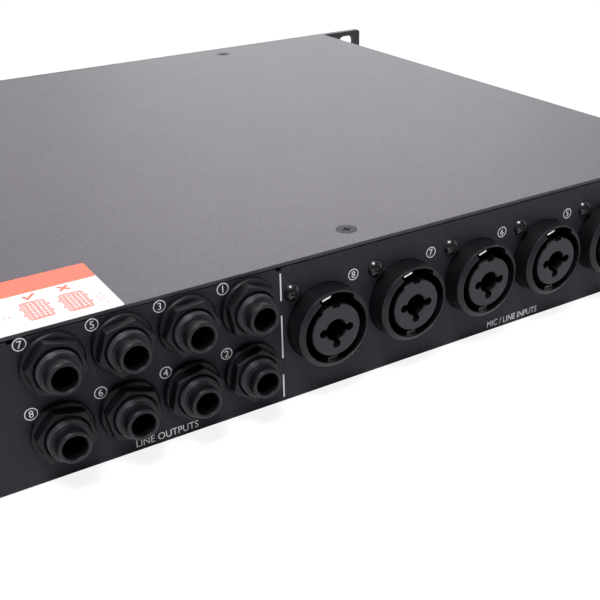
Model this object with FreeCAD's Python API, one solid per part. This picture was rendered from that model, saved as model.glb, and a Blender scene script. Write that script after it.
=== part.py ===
"""A one-unit, eight-channel microphone preamp in a 19 inch rack case, as separate pieces.

Millimetres, +Z up.  The origin is on the underside, in the middle of the case.  The front panel with its
knobs faces -Y and the rear panel with its connectors faces +Y.  Every connector, control and lamp is drawn
in a panel frame first: x to the right for someone who looks at it, z up, y inwards, and y = 0 on the outer
face of the sheet that holds it.  at_front and at_rear then carry it to its place on the case.
"""
import FreeCAD, Part
import math
import os

Vector = FreeCAD.Vector
os.makedirs("parts", exist_ok=True)

# ---- case ------------------------------------------------------------------------------------------
body_width = 437.0
body_height = 43.6
body_depth = 250.0
sheet = 1.2                  # tray and rear panel
cover_sheet = 1.0
cover_gap = 0.2              # between the cover's sides and the tray's walls
cover_foot = 1.0             # the cover's sides stop this far above the underside
cover_bend = 1.2             # outer radius of the cover's long edges
lid_gap = 0.4                # dark line under the cover, over the rear panel
wall_drop = 0.3              # the tray's walls stop this far below the cover
foot_depth = 12.0            # sub-panel's foot, bent back along the floor
end_setback = 8.0            # feet, lips and upstands stop this far short of the tray's walls
upstand = 3.8                # tray's rear edge, bent up behind the rear panel and spot-welded to it
tab_depth = 14.0             # rear panel's head, bent in under the cover over the jacks
tab_start = 1.3
tab_length = 71.9
notch_width = 1.6
notch_drop = 1.3             # bend reliefs beside the tab, below the cover
lug_width = 16.0
lug_depth = 17.0
lug_leg = 4.6
lip_depth = 16.0             # sub-panel's head, bent back under the cover

# ---- front panel -----------------------------------------------------------------------------------
rack_width = 482.6
panel_thick = 3.0
panel_corner = 1.5
slot_span_x = 465.1
slot_span_z = 31.75
slot_radius = 3.4
slot_length = 10.2

# ---- screws ----------------------------------------------------------------------------------------
screw_radius = 1.45
screw_hole = 1.6
flat_head_radius = 3.1
flat_head_height = 1.0
dome_head_radius = 2.75
dome_head_height = 2.0
recess_width = 0.6
recess_span = 3.0
recess_depth = 0.8
cover_screw_length = 6.0
panel_screw_length = 7.0
cover_screw_x = 71.7
cover_screw_inset = 10.1
front_screw_x = 150.0
side_screw_y = 70.0
side_screw_z = 14.0
ear_screw_inset = 4.8        # front panel screws, in from the tray's walls
ear_screw_z = 6.2            # and up from the underside, or down from the top
foot_screw_x = (-180.0, -60.0, 60.0, 180.0)
foot_screw_inset = 8.0

# ---- cooling slots in the case's sides ---------------------------------------------------------------
vent_count = 9
vent_pitch = 9.0
vent_width = 3.0
vent_height = 20.0

# ---- combined XLR and jack sockets -------------------------------------------------------------------
combo_count = 8
front_combos = 2
divider_x = -43.3            # painted line between the jacks and the combined sockets
combo_first = 13.7           # from that line to the first combined socket
combo_pitch = 28.05
combo_z = 22.2
combo_front_x = -196.0
combo_front_pitch = 32.0
combo_flange_width = 26.0
combo_flange_height = 31.0
combo_flange_thick = 2.4
combo_nose_base = 11.9
combo_nose_rim = 11.75
combo_nose_length = 7.0      # beyond the sheet that holds it
combo_rim_slope = 1.0        # the rim falls back this far from its lip to its outer edge
combo_lip = 0.2
combo_hole_gap = 0.2
combo_groove = 10.2
combo_depth = 12.0           # from the sheet's outer face to the seat of the insert
combo_back = 2.0
latch_start = 55.0
latch_end = 118.0
latch_radius = 11.3
latch_depth = 8.0
insert_radius = 7.96
insert_round = 0.4
bore_chamfer = 0.3           # at the mouth of every jack bore
insert_base_thick = 3.0
insert_gap = 0.1
insert_tail_radius = 6.4
insert_tail = 18.0
combo_bore = 3.3
combo_bore_length = 34.0
pin_hole = 1.3
pin_circle = 4.3
pin_angles = (0.0, 180.0, 270.0)
pin_depth = 13.0
key_width = 2.6
key_depth = 1.0
key_length = 12.0
side_key_angle = 131.0
side_key_width = 1.6
side_key_depth = 0.6
contact_thick = 0.35
contact_width = 1.3
contact_radius = 4.95
contact_set_back = 2.5
contact_length = 9.0
spring_width = 3.2
spring_thick = 0.5
spring_set_back = 2.0
spring_length = 12.0
stop_angle = 106.0
stop_width = 2.9
stop_length = 3.0
combo_screw_x = 10.0
combo_screw_z = 11.85
combo_screw_length = 8.0

# ---- jack sockets ----------------------------------------------------------------------------------
jack_count = 8
jack_first = 10.62           # from the painted line to the first column
jack_pitch = 18.1
jack_low_z = 14.24
jack_row_gap = 19.63
jack_body = 15.0
jack_body_depth = 24.0
jack_bush = 5.5
jack_bush_length = 7.3
jack_nose = 4.45
jack_nose_length = 10.33
jack_nose_round = 0.8
jack_bore = 3.3
jack_bore_length = 32.0
thread_root = 5.15
thread_start = 4.5           # full size up to here, inside the nut; cut to the thread's root beyond
bush_gap = 0.1
washer_radius = 8.4
washer_thick = 2.2
washer_round = 0.9
nut_flats = 14.0
nut_thick = 2.8
nut_round = 0.35
nut_chamfer = 0.6            # at the mouth of its threaded hole
nut_turns = (20.0, 40.0, 57.0, 45.0, 49.0, 19.0, 14.0, 13.0)  # as each nut happened to be tightened

# ---- other rear connectors -------------------------------------------------------------------------
optical_count = 2
optical_x = 66.0
optical_pitch = 20.0
optical_z = 21.8
optical_width = 11.0
optical_height = 12.0
optical_proud = 1.0
optical_depth = 18.0
optical_mouth = 8.4
optical_cavity = 13.0
cutout_gap = 0.2
shutter_gap = 0.2
shutter_thick = 0.8
shutter_hinge_drop = 0.7
shutter_barrel = 0.5
shutter_pin = 0.4
shutter_pin_length = 0.8
pivot_gap = 0.03
clock_x = 122.0
clock_z = 21.8
clock_bush = 4.75
clock_length = 11.0
clock_bore = 3.95
clock_bore_depth = 9.5
clock_core = 2.3
clock_core_drop = 3.0
clock_core_hole = 0.7
clock_lug = 1.0
clock_lug_length = 1.1
clock_lug_set_back = 3.2
clock_body = 12.0
clock_body_depth = 13.0
clock_nut_thick = 2.4
inlet_x = 186.0
inlet_z = 21.8
inlet_plate_width = 50.0
inlet_plate_height = 22.4
inlet_plate_thick = 2.4
inlet_corner = 3.0
inlet_body_width = 27.2
inlet_body_height = 20.0
inlet_depth = 22.0
inlet_cavity_width = 24.4
inlet_cavity_height = 16.3
inlet_cavity_corner = 4.5
inlet_cavity_depth = 18.4
inlet_screw_x = 20.0
inlet_pin_spread = 7.0
inlet_pin_low = -2.0
inlet_pin_high = 2.0
inlet_pin_width = 2.0
inlet_pin_height = 4.0
inlet_pin_length = 15.0
inlet_tag = 6.0
inlet_pin_gap = 0.05

# ---- front controls --------------------------------------------------------------------------------
knob_count = 8
knob_x = -90.0
knob_pitch = 26.0
knob_z = 18.5
knob_radius = 7.5
knob_tip_radius = 6.9
knob_length = 14.0
knob_lift = 0.9
knob_round = 0.8
flute_count = 16
flute_radius = 0.9
spindle_radius = 3.0
spindle_gap = 0.02
spindle_in_knob = 11.0
spindle_in_pot = 7.0
pot_bush = 3.5
pot_bush_gap = 0.15
pot_bush_proud = 0.4
pot_width = 11.0
pot_depth = 10.0
button_radius = 3.2
button_gap = 0.15
button_proud = 2.4
button_round = 0.5
button_tail = 1.0
button_travel = 1.6
stem_radius = 1.4
stem_gap = 0.1
stem_length = 5.0
switch_width = 9.0
switch_depth = 13.0
switch_well = 4.0
button_high_z = 29.0
button_low_z = 14.5
channel_button_x = (-144.0, -118.0)
phantom_button_x = 116.0
clock_button_x = 142.0
lamp_radius = 1.5
lamp_gap = 0.1
lamp_proud = 0.5
lamp_depth = 3.0
lamp_z = 34.5
lamp_beside = 8.5
rocker_x = 190.0
rocker_z = 21.8
rocker_plate_width = 15.0
rocker_plate_height = 24.0
rocker_plate_thick = 1.5
rocker_body_width = 12.8
rocker_body_height = 21.6
rocker_body_depth = 20.0
rocker_mouth_width = 10.4
rocker_mouth_height = 18.3
rocker_mouth_depth = 15.0
rocker_side_gap = 0.2
rocker_pivot_y = 2.0
rocker_pin = 1.0
rocker_pin_length = 0.9
rocker_tilt = 8.0
rocker_tip = 3.2             # how far the rocker's ends stand out of the front panel
rocker_dish = 1.0
rocker_half = 7.9

# ---- inside ----------------------------------------------------------------------------------------
board_thick = 1.6
board_lift = 2.0
standoff_radius = 2.5
standoff_inset = 5.0
main_board_x = (-205.0, 60.0)
main_board_y = (-100.0, 108.0)
power_board_x = (75.0, 208.0)
power_board_y = (-85.0, 96.0)
jack_board_margin = 1.0
transformer_x = 150.0
transformer_y = 10.0
core_width = 48.0
core_depth = 24.0
core_height = 34.0
coil_width = 30.0
coil_depth = 40.0
coil_height = 24.0
can_radius = 7.5
can_height = 26.0
can_pitch = 18.0
can_y = -60.0
sink_width = 40.0
sink_depth = 12.0
sink_height = 28.0
fin_count = 7
fin_thick = 1.6
sink_y = 70.0
chip_width = 9.0
chip_depth = 12.0
chip_height = 3.5
chip_y = -20.0
relay_width = 10.0
relay_depth = 20.0
relay_height = 10.0
relay_y = 30.0
strip_first_x = -190.0
strip_pitch = 30.0

# ---- worked out ------------------------------------------------------------------------------------
half_depth = body_depth / 2
half_width = body_width / 2
middle_z = body_height / 2
cover_under = body_height - cover_sheet
wall_x = half_width - cover_sheet - cover_gap
rear_inside = half_depth - sheet
jack_body_size = min(jack_body, 2 * (cover_under - sheet - jack_low_z - jack_row_gap))
spring_sheet = min(spring_thick, (combo_groove - insert_radius) / 4)
rear_top = cover_under - lid_gap
wall_top = cover_under - wall_drop
panel_front = -panel_thick                       # the front panel's face, in the panel frame
combo_hole = combo_nose_base + combo_hole_gap
jack_hole = jack_bush + bush_gap
clock_hole = clock_bush + bush_gap
board_under = sheet + board_lift
board_top = board_under + board_thick

combo_rear_x = [divider_x - combo_first - combo_pitch * i for i in range(combo_count - front_combos)]
jack_places = []
for number in range(jack_count):
    column, row = divmod(number, 2)
    jack_places.append((divider_x + jack_first + jack_pitch * column, jack_low_z + jack_row_gap * (1 - row)))
optical_places = [optical_x + optical_pitch * i for i in range(optical_count)]
knob_places = [knob_x + knob_pitch * i for i in range(knob_count)]
button_places = {
    "instrument_button_1": (channel_button_x[0], button_high_z),
    "instrument_button_2": (channel_button_x[1], button_high_z),
    "pad_button_1": (channel_button_x[0], button_low_z),
    "pad_button_2": (channel_button_x[1], button_low_z),
    "phantom_button_low": (phantom_button_x, button_high_z),
    "phantom_button_high": (phantom_button_x, button_low_z),
    "sample_rate_button": (clock_button_x, button_high_z),
    "clock_source_button": (clock_button_x, button_low_z),
}
lamp_places = [(x, lamp_z) for x in knob_places]
lamp_places += [(x + lamp_beside, z) for x, z in button_places.values()]


# ---- helpers ---------------------------------------------------------------------------------------
def box(x, y, z):
    """A block between the two limits given for each axis."""
    return Part.makeBox(x[1] - x[0], y[1] - y[0], z[1] - z[0], Vector(x[0], y[0], z[0]))


def slab(width, height, y, x=0.0, z=0.0):
    """A block centred on (x, z) in the panel frame, between two depths."""
    return box((x - width / 2, x + width / 2), y, (z - height / 2, z + height / 2))


def rod(radius, y, x=0.0, z=0.0):
    """A cylinder along y in the panel frame, between two depths."""
    return Part.makeCylinder(radius, y[1] - y[0], Vector(x, y[0], z), Vector(0, 1, 0))


def pillar(radius, z, x, y):
    return Part.makeCylinder(radius, z[1] - z[0], Vector(x, y, z[0]))


def turned(profile):
    """A solid of revolution about y, from its half outline of (radius, y) points."""
    points = [Vector(r, y, 0) for r, y in profile]
    face = Part.Face(Part.makePolygon(points + points[:1]))
    return face.revolve(Vector(0, 0, 0), Vector(0, 1, 0), 360)


def fused(pieces):
    return pieces[0].multiFuse(pieces[1:]).removeSplitter()


def moved(shape, x=0.0, y=0.0, z=0.0):
    copy = shape.copy()
    copy.translate(Vector(x, y, z))
    return copy


def rounded(shape, y, radius):
    """The shape with its edges at one depth rounded."""
    return shape.makeFillet(radius, [e for e in shape.Edges if e.BoundBox.YMax < y + 0.01])


def mouth(bore, y, chamfer):
    """The cone that opens the edge of a bore whose mouth is at the depth y."""
    return Part.makeCone(bore + chamfer, bore, chamfer, Vector(0, y, 0), Vector(0, 1, 0))


def at_front(shape, x, z):
    return moved(shape, x, -half_depth, z)


def at_rear(shape, x, z):
    copy = shape.copy()
    copy.rotate(Vector(0, 0, 0), Vector(0, 0, 1), 180)
    return moved(copy, x, half_depth, z)


def about_y(shape, degrees):
    copy = shape.copy()
    copy.rotate(Vector(0, 0, 0), Vector(0, 1, 0), degrees)
    return copy


def save(name, pieces):
    """One node: its solids, in one file."""
    shape = pieces[0] if len(pieces) == 1 else Part.makeCompound(pieces)
    shape.exportStep("parts/" + name + ".step")


# ---- fasteners -------------------------------------------------------------------------------------
def cross_recess(top):
    long_cut = slab(recess_span, recess_width, (top, top + recess_depth))
    tall_cut = slab(recess_width, recess_span, (top, top + recess_depth))
    return long_cut.fuse(tall_cut)


def flat_screw(length):
    """Countersunk screw, its head flush with y = 0."""
    head = Part.makeCone(flat_head_radius, screw_radius, flat_head_height, Vector(0, 0, 0), Vector(0, 1, 0))
    return fused([head, rod(screw_radius, (0, length))]).cut(cross_recess(0))


def countersink():
    """The room that a countersunk screw's head and thread take in a sheet."""
    grow = screw_hole - screw_radius
    cone = Part.makeCone(flat_head_radius + grow, screw_hole, flat_head_height,
                         Vector(0, 0, 0), Vector(0, 1, 0))
    return cone.fuse(rod(screw_hole, (0, panel_screw_length + cover_sheet)))


def dome_screw(seat, end):
    """Dome-head screw whose head rests on the depth seat and whose thread reaches the depth end."""
    ball_radius = (dome_head_radius ** 2 + dome_head_height ** 2) / (2 * dome_head_height)
    ball = Part.makeSphere(ball_radius, Vector(0, seat + ball_radius - dome_head_height, 0))
    head = ball.common(rod(ball_radius, (seat - dome_head_height, seat)))
    screw = fused([head, rod(screw_radius, (seat, end))])
    return screw.cut(cross_recess(seat - dome_head_height))


def hex_nut(bore, thick, seat):
    """Hexagon nut, its outer edges just rounded, that rests on the depth seat."""
    corner = nut_flats / math.sqrt(3)
    points = []
    for step in range(7):
        angle = math.radians(60 * step)
        points.append(Vector(corner * math.cos(angle), seat - thick, corner * math.sin(angle)))
    block = Part.Face(Part.makePolygon(points)).extrude(Vector(0, thick, 0))
    nut = rounded(block, seat - thick, nut_round).cut(rod(bore, (seat - thick, seat)))
    return nut.cut(mouth(bore, seat - thick, nut_chamfer))


def washer(bore):
    """Thick washer with both its edges rounded."""
    disc = rod(washer_radius, (-washer_thick, 0))
    disc = disc.makeFillet(washer_round, [e for e in disc.Edges if e.BoundBox.YLength < washer_round])
    return disc.cut(rod(bore, (-washer_thick, 0)))


# ---- combined sockets ------------------------------------------------------------------------------
def polar(shape, degrees):
    """Turns a piece drawn on the +x side to the angle, anticlockwise for someone who looks at the panel."""
    return about_y(shape, -degrees)


def sector(radius, angles, y):
    """A slice of a disc between two angles, and between two depths."""
    middle = sum(angles) / 2
    rim = []
    for angle in (angles[0], middle, angles[1]):
        turn = math.radians(angle)
        rim.append(Vector(radius * math.cos(turn), y[0], radius * math.sin(turn)))
    centre = Vector(0, y[0], 0)
    edges = [Part.makeLine(centre, rim[0]), Part.Arc(*rim).toShape(), Part.makeLine(rim[2], centre)]
    return Part.Face(Part.Wire(edges)).extrude(Vector(0, y[1] - y[0], 0))


def combo_housing():
    back = combo_depth + combo_back
    face = -combo_nose_length
    nose = turned([(0, sheet), (combo_nose_base, sheet), (combo_nose_rim, face + combo_rim_slope),
                   (combo_groove + combo_lip, face), (0, face)])
    flange = slab(combo_flange_width, combo_flange_height, (sheet, sheet + combo_flange_thick))
    shell = fused([nose, flange, rod(combo_nose_base, (sheet, back))])
    shell = shell.cut(rod(combo_groove, (face, combo_depth)))
    shell = shell.cut(rod(insert_tail_radius + insert_gap, (combo_depth, back)))
    shell = shell.cut(sector(latch_radius, (latch_start, latch_end), (face, face + latch_depth)))
    for side in (-1, 1):
        shell = shell.cut(rod(screw_hole, (0, back), side * combo_screw_x, -side * combo_screw_z))
    return shell


def combo_insert():
    face = -combo_nose_length
    base = combo_depth - insert_base_thick
    insert = fused([
        rounded(rod(insert_radius, (face, combo_depth)), face, insert_round),
        rod(combo_groove - insert_gap, (base, combo_depth)),
        rod(insert_tail_radius, (combo_depth, combo_depth + insert_tail)),
    ])
    insert = insert.cut(rod(combo_bore, (face, face + combo_bore_length)))
    insert = insert.cut(mouth(combo_bore, face, bore_chamfer))
    for angle in pin_angles:
        insert = insert.cut(polar(rod(pin_hole, (face, face + pin_depth), pin_circle), angle))
    key = slab(key_depth, key_width, (face, face + key_length), insert_radius - key_depth / 2 + insert_gap)
    side_key = slab(side_key_depth, side_key_width, (face, face + key_length), insert_radius)
    insert = insert.cut(polar(key, 90))
    return insert.cut(polar(side_key, side_key_angle))


def combo_contacts():
    """Three leaf contacts, the earth spring at the foot of the groove and the stop in the latch window."""
    face = -combo_nose_length
    pieces = []
    for angle in pin_angles:
        leaf = slab(contact_thick, contact_width,
                    (face + contact_set_back, face + contact_set_back + contact_length),
                    contact_radius + contact_thick / 2)
        pieces.append(polar(leaf, angle))
    reach = math.sqrt(combo_groove ** 2 - (spring_width / 2) ** 2) - insert_gap
    foot = face + spring_set_back
    spring = slab(spring_sheet, spring_width, (foot, foot + spring_length), reach - spring_sheet / 2)
    pieces.append(polar(spring, 270))
    reach = math.sqrt(latch_radius ** 2 - (stop_width / 2) ** 2) - insert_gap
    stop = slab(spring_thick, stop_width, (face + spring_thick, face + spring_thick + stop_length),
                reach - spring_thick / 2)
    pieces.append(polar(stop, stop_angle))
    return pieces


def combo_screws(seat):
    screw = dome_screw(seat, combo_screw_length)
    return [moved(screw, side * combo_screw_x, 0, -side * combo_screw_z) for side in (-1, 1)]


# ---- jack sockets ----------------------------------------------------------------------------------
def jack_socket():
    outline = [(0, sheet), (jack_bush, sheet), (jack_bush, -thread_start), (thread_root, -thread_start),
               (thread_root, -jack_bush_length), (jack_nose, -jack_bush_length),
               (jack_nose, -jack_nose_length + jack_nose_round)]
    for step in (1, 2, 3):
        angle = math.radians(30 * step)
        outline.append((jack_nose - jack_nose_round * (1 - math.cos(angle)),
                        -jack_nose_length + jack_nose_round * (1 - math.sin(angle))))
    outline.append((0, -jack_nose_length))
    body = slab(jack_body_size, jack_body_size, (sheet, sheet + jack_body_depth))
    socket = fused([body, turned(outline)])
    socket = socket.cut(rod(jack_bore, (-jack_nose_length, -jack_nose_length + jack_bore_length)))
    return socket.cut(mouth(jack_bore, -jack_nose_length, bore_chamfer))


# ---- other rear connectors -------------------------------------------------------------------------
def optical_socket():
    body = slab(optical_width, optical_height, (-optical_proud, optical_depth))
    body = body.cut(slab(optical_mouth, optical_mouth, (-optical_proud, optical_cavity)))
    reach = optical_mouth + 2 * (shutter_pin_length + shutter_gap)
    hinge_z = optical_mouth / 2 - shutter_hinge_drop
    hole = Part.makeCylinder(shutter_pin + pivot_gap, reach, Vector(-reach / 2, 0, hinge_z), Vector(1, 0, 0))
    return body.cut(hole)


def optical_shutter():
    """Flap that closes the mouth, hung on a barrel with a pin at each end."""
    width = optical_mouth - 2 * shutter_gap
    hinge_z = optical_mouth / 2 - shutter_hinge_drop
    flap = box((-width / 2, width / 2), (-shutter_thick / 2, shutter_thick / 2),
               (-optical_mouth / 2 + shutter_gap, hinge_z))
    barrel = Part.makeCylinder(shutter_barrel, width, Vector(-width / 2, 0, hinge_z), Vector(1, 0, 0))
    reach = optical_mouth + 2 * shutter_pin_length
    pin = Part.makeCylinder(shutter_pin, reach, Vector(-reach / 2, 0, hinge_z), Vector(1, 0, 0))
    return fused([flap, barrel, pin])


def word_clock_socket():
    body = slab(clock_body, clock_body, (sheet, sheet + clock_body_depth))
    socket = fused([body, rod(clock_bush, (-clock_length, sheet))])
    socket = socket.cut(rod(clock_bore, (-clock_length, -clock_length + clock_bore_depth)))
    core_face = -clock_length + clock_core_drop
    core = rod(clock_core, (core_face, -clock_length + clock_bore_depth))
    core = core.cut(rod(clock_core_hole, (core_face, -clock_length + clock_bore_depth)))
    reach = 2 * (clock_bush + clock_lug_length)
    lugs = Part.makeCylinder(clock_lug, reach, Vector(-reach / 2, -clock_length + clock_lug_set_back, 0),
                             Vector(1, 0, 0))
    lugs = lugs.cut(rod((clock_bush + clock_bore) / 2, (-clock_length, 0)))
    return fused([socket, core, lugs])


def inlet_pins():
    floor_y = -inlet_plate_thick + inlet_cavity_depth
    back = inlet_depth + inlet_tag
    places = ((-inlet_pin_spread, inlet_pin_low), (inlet_pin_spread, inlet_pin_low), (0, inlet_pin_high))
    return [slab(inlet_pin_width, inlet_pin_height, (floor_y - inlet_pin_length, back), x, z)
            for x, z in places]


def mains_inlet():
    plate = slab(inlet_plate_width, inlet_plate_height, (-inlet_plate_thick, 0))
    plate = plate.makeFillet(inlet_corner, [e for e in plate.Edges if abs(e.tangentAt(0).y) > 0.9])
    inlet = fused([plate, slab(inlet_body_width, inlet_body_height, (0, inlet_depth))])
    floor_y = -inlet_plate_thick + inlet_cavity_depth
    cavity = slab(inlet_cavity_width, inlet_cavity_height, (-inlet_plate_thick, floor_y))
    upper = [e for e in cavity.Edges if abs(e.tangentAt(0).y) > 0.9 and e.CenterOfMass.z > 0]
    inlet = inlet.cut(cavity.makeChamfer(inlet_cavity_corner, upper))
    for pin in inlet_pins():
        limits = pin.BoundBox
        inlet = inlet.cut(box((limits.XMin - inlet_pin_gap, limits.XMax + inlet_pin_gap),
                              (limits.YMin, limits.YMax),
                              (limits.ZMin - inlet_pin_gap, limits.ZMax + inlet_pin_gap)))
    for side in (-1, 1):
        inlet = inlet.cut(rod(screw_hole, (-inlet_plate_thick, 0), side * inlet_screw_x))
    return inlet


# ---- front controls --------------------------------------------------------------------------------
def gain_knob():
    """Fluted knob, and the spindle that it is pressed on."""
    back = panel_front - knob_lift
    front = back - knob_length
    cap = Part.makeCone(knob_tip_radius, knob_radius, knob_length, Vector(0, front, 0), Vector(0, 1, 0))
    cap = rounded(cap, front, knob_round)
    for step in range(flute_count):
        groove = rod(flute_radius, (front, back - 2 * knob_round), knob_radius + flute_radius / 2)
        cap = cap.cut(about_y(groove, 360 / flute_count * (step + 0.5)))
    cap = cap.cut(rod(spindle_radius + spindle_gap, (back - spindle_in_knob, back)))
    return [cap, rod(spindle_radius, (back - spindle_in_knob + spindle_gap, sheet + spindle_in_pot))]


def gain_potentiometer():
    body = slab(pot_width, pot_width, (sheet, sheet + pot_depth))
    pot = fused([body, rod(pot_bush, (panel_front - pot_bush_proud, sheet))])
    bore = rod(spindle_radius + pivot_gap, (panel_front - pot_bush_proud, sheet + spindle_in_pot + pivot_gap))
    return pot.cut(bore)


def push_button():
    front = panel_front - button_proud
    cap = rod(button_radius, (front, button_tail))
    cap = rounded(cap, front, button_round)
    return fused([cap, rod(stem_radius, (button_tail, button_tail + stem_length))])


def button_switch():
    body = slab(switch_width, switch_width, (sheet, sheet + switch_depth))
    body = body.cut(rod(button_radius + button_gap, (sheet, switch_well)))
    end = button_tail + stem_length + button_travel + stem_gap
    return body.cut(rod(stem_radius + stem_gap, (switch_well, end)))


def signal_lamp():
    return rod(lamp_radius, (panel_front - lamp_proud, lamp_depth))


def rocker_frame():
    plate = slab(rocker_plate_width, rocker_plate_height, (panel_front - rocker_plate_thick, panel_front))
    body = slab(rocker_body_width, rocker_body_height, (panel_front, rocker_body_depth))
    frame = fused([plate, body])
    mouth_end = panel_front - rocker_plate_thick + rocker_mouth_depth
    frame = frame.cut(slab(rocker_mouth_width, rocker_mouth_height,
                           (panel_front - rocker_plate_thick, mouth_end)))
    reach = rocker_mouth_width + 2 * (rocker_pin_length - rocker_side_gap / 2)
    hole = Part.makeCylinder(rocker_pin + pivot_gap, reach, Vector(-reach / 2, rocker_pivot_y, 0),
                             Vector(1, 0, 0))
    return frame.cut(hole)


def power_rocker():
    """Dished rocker with a pin at each side, resting with its upper end out."""
    width = rocker_mouth_width - 2 * rocker_side_gap
    front = panel_front - rocker_tip
    outline = [(front, rocker_half), (front + rocker_dish, 0), (front, -rocker_half),
               (rocker_pivot_y - 2 * rocker_pin, -rocker_half + rocker_side_gap),
               (rocker_pivot_y + 2 * rocker_pin, -2 * rocker_pin),
               (rocker_pivot_y + 2 * rocker_pin, 2 * rocker_pin),
               (rocker_pivot_y - 2 * rocker_pin, rocker_half - rocker_side_gap)]
    points = [Vector(-width / 2, y, z) for y, z in outline]
    block = Part.Face(Part.makePolygon(points + points[:1])).extrude(Vector(width, 0, 0))
    reach = width + 2 * (rocker_pin_length - rocker_side_gap / 2)
    pin = Part.makeCylinder(rocker_pin, reach, Vector(-reach / 2, rocker_pivot_y, 0), Vector(1, 0, 0))
    rocker = fused([block, pin])
    rocker.rotate(Vector(0, rocker_pivot_y, 0), Vector(1, 0, 0), rocker_tilt)
    return rocker


# ---- case pieces -----------------------------------------------------------------------------------
def cover_screw_places():
    """Where each cover screw goes, and the direction that it points."""
    places = []
    for side in (-1, 1):
        places.append((Vector(side * cover_screw_x, half_depth - cover_screw_inset, body_height),
                       Vector(0, 0, -1)))
        places.append((Vector(side * front_screw_x, cover_screw_inset - half_depth, body_height),
                       Vector(0, 0, -1)))
        for y in (-side_screw_y, side_screw_y):
            places.append((Vector(side * half_width, y, side_screw_z), Vector(-side, 0, 0)))
    return places


def panel_screw_places():
    """The front panel's screws, and those that come up through the floor into the sub-panel's foot."""
    places = []
    for x in (-wall_x + ear_screw_inset, wall_x - ear_screw_inset):
        for z in (ear_screw_z, body_height - ear_screw_z):
            places.append((Vector(x, -half_depth - panel_thick, z), Vector(0, 1, 0)))
    for x in foot_screw_x:
        places.append((Vector(x, foot_screw_inset - half_depth, 0), Vector(0, 0, 1)))
    return places


def pointed(shape, place):
    """Carries a piece drawn along +y to a point, aimed along a direction."""
    copy = shape.copy()
    copy.Placement = FreeCAD.Placement(place[0], FreeCAD.Rotation(Vector(0, 1, 0), place[1]))
    return copy


def cut_countersinks(shape, places):
    for place in places:
        shape = shape.cut(pointed(countersink(), place))
    return shape


def front_openings():
    """Everything that passes through the front panel and the sub-panel."""
    through = (panel_front - 1, sheet + 1)
    tools = [at_front(rod(pot_bush + pot_bush_gap, through), x, knob_z) for x in knob_places]
    for x, z in button_places.values():
        tools.append(at_front(rod(button_radius + button_gap, through), x, z))
    for x, z in lamp_places:
        tools.append(at_front(rod(lamp_radius + lamp_gap, through), x, z))
    for i in range(front_combos):
        x = combo_front_x + combo_front_pitch * i
        tools.append(at_front(rod(combo_hole, through), x, combo_z))
        for side in (-1, 1):
            tools.append(at_front(rod(screw_hole, through, side * combo_screw_x, -side * combo_screw_z),
                                  x, combo_z))
    tools.append(at_front(slab(rocker_body_width + cutout_gap * 2, rocker_body_height + cutout_gap * 2,
                               through), rocker_x, rocker_z))
    return tools


def vents():
    """Cooling slots, right across the case, that pierce the cover's sides and the tray's walls alike."""
    slots = []
    for step in range(vent_count):
        y = (step - (vent_count - 1) / 2) * vent_pitch
        slots.append(box((-half_width, half_width), (y - vent_width / 2, y + vent_width / 2),
                         (middle_z - vent_height / 2, middle_z + vent_height / 2)))
    return Part.makeCompound(slots)


def bottom_tray():
    base = box((-wall_x, wall_x), (-half_depth, rear_inside), (0, sheet))
    walls = [box(sorted((side * wall_x, side * (wall_x - sheet))), (-half_depth, rear_inside), (0, wall_top))
             for side in (-1, 1)]
    rear_edge = box((-wall_x + end_setback, wall_x - end_setback), (rear_inside - sheet, rear_inside),
                    (0, sheet + upstand))
    tray = fused([base, rear_edge] + walls).cut(vents())
    return cut_countersinks(tray, cover_screw_places() + panel_screw_places())


def sub_panel():
    """Sheet behind the front panel that carries the controls, with a foot on the floor and a head."""
    reach = wall_x - sheet
    plate = box((-reach, reach), (-half_depth, -half_depth + sheet), (sheet, cover_under))
    bent_x = (-wall_x + end_setback, wall_x - end_setback)
    foot = box(bent_x, (-half_depth, -half_depth + foot_depth), (sheet, 2 * sheet))
    head = box(bent_x, (-half_depth, -half_depth + lip_depth), (cover_under - sheet, cover_under))
    panel = fused([plate, foot, head]).cut(Part.makeCompound(front_openings()))
    return cut_countersinks(panel, cover_screw_places() + panel_screw_places())


def cover_lugs():
    """Two welded brackets on the rear panel, which the cover's rear screws go into."""
    lugs = []
    for side in (-1, 1):
        x = (side * cover_screw_x - lug_width / 2, side * cover_screw_x + lug_width / 2)
        lug = fused([box(x, (half_depth - lug_depth, rear_inside), (cover_under - sheet, cover_under)),
                     box(x, (rear_inside - sheet, rear_inside), (cover_under - lug_leg, cover_under))])
        lugs.append(cut_countersinks(lug, cover_screw_places()))
    return lugs


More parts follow.
